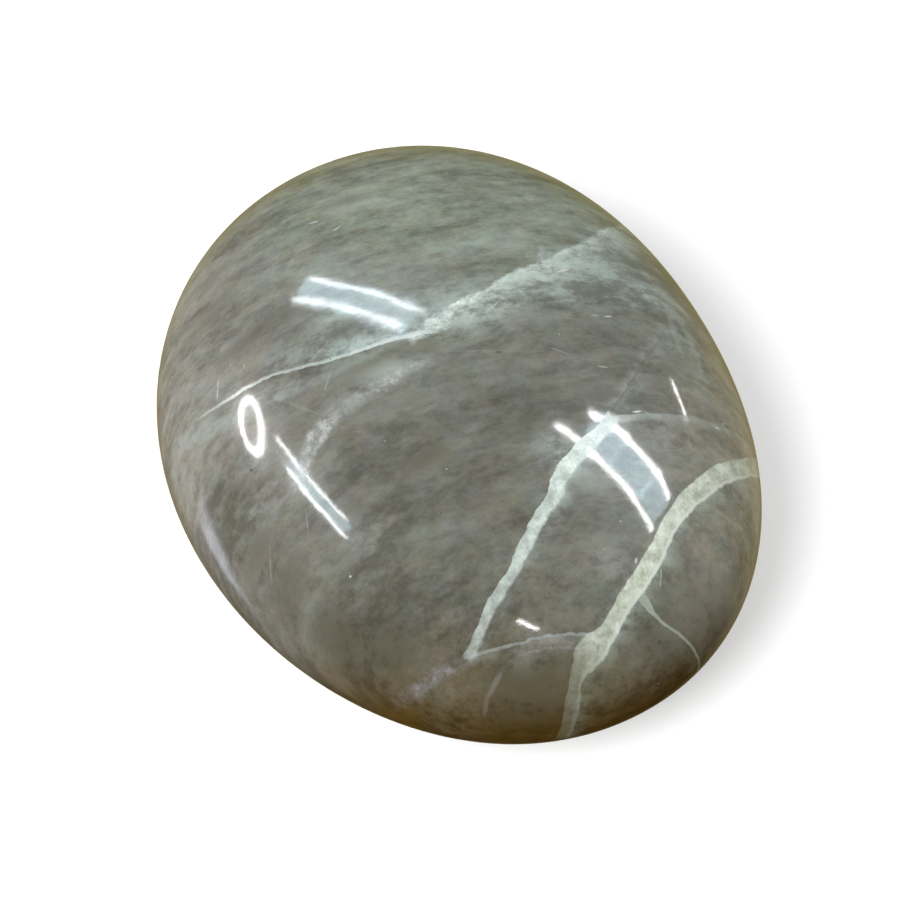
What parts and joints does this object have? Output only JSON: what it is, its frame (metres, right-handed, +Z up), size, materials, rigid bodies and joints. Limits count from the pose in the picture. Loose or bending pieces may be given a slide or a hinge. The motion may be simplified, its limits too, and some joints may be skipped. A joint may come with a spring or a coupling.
{
  "type": "garnierite pebble",
  "caption": "Polished oval garnierite pebble, rounded all over, with pale veins and a small flat spot to lie on.",
  "frame": {"origin": "on the surface the pebble lies on, under the middle of its outline, inside the small flat spot", "axes": "+X along the pebble's long way, +Y across it, +Z up through its thickness"},
  "size_m": [0.062, 0.0514, 0.024],
  "materials": {
    "garnierite": "polished"
  },
  "bodies": {
    "root": {"pebble": "garnierite"}
  },
  "joints": []
}
